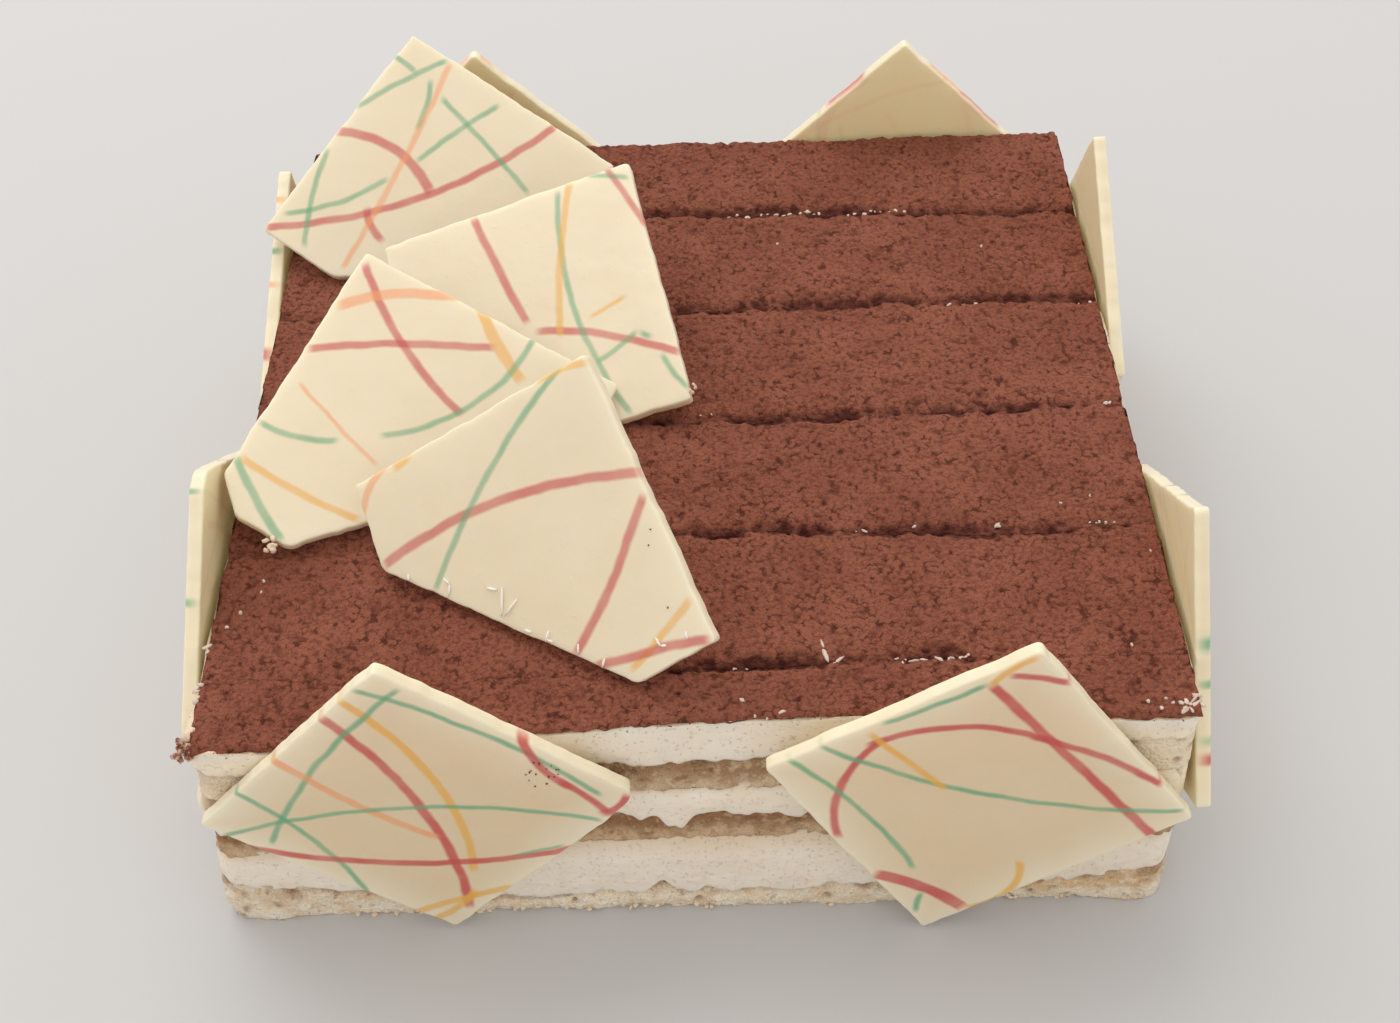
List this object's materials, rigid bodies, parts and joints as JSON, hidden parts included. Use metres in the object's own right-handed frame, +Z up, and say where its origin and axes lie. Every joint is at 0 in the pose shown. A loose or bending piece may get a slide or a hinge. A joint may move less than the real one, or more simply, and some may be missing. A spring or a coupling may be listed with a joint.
{
  "type": "tiramisu cake",
  "caption": "Square layered tiramisu cake: cocoa-dusted top laid in bands, with thin drizzled white chocolate squares leaning on the top and standing round its sides.",
  "frame": {"origin": "middle of the cake's flat underside", "axes": "+Z up from the underside; -Y towards the front, where the layers show best; +X to the right as the front is seen"},
  "size_m": [0.1798, 0.18, 0.0906],
  "materials": {
    "sponge": "open, matte sponge crumb",
    "cream": "smooth matte cream with fine pores",
    "cocoa": "clumped dry cocoa powder",
    "white_chocolate": "satin ivory chocolate with thin red, green and yellow drizzle lines"
  },
  "bodies": {
    "root": {"sponge_base": "sponge", "cream_lower": "cream", "sponge_middle": "sponge", "cream_middle": "cream", "sponge_upper": "sponge", "cream_upper": "cream", "cocoa_top": "cocoa", "shard_top_1": "white_chocolate", "shard_top_2": "white_chocolate", "shard_top_3": "white_chocolate", "shard_top_4": "white_chocolate", "shard_front_left": "white_chocolate", "shard_front_right": "white_chocolate", "shard_right_front": "white_chocolate", "shard_right_back": "white_chocolate", "shard_left_front": "white_chocolate", "shard_left_back": "white_chocolate", "shard_back_left": "white_chocolate", "shard_back_right": "white_chocolate"}
  },
  "joints": []
}
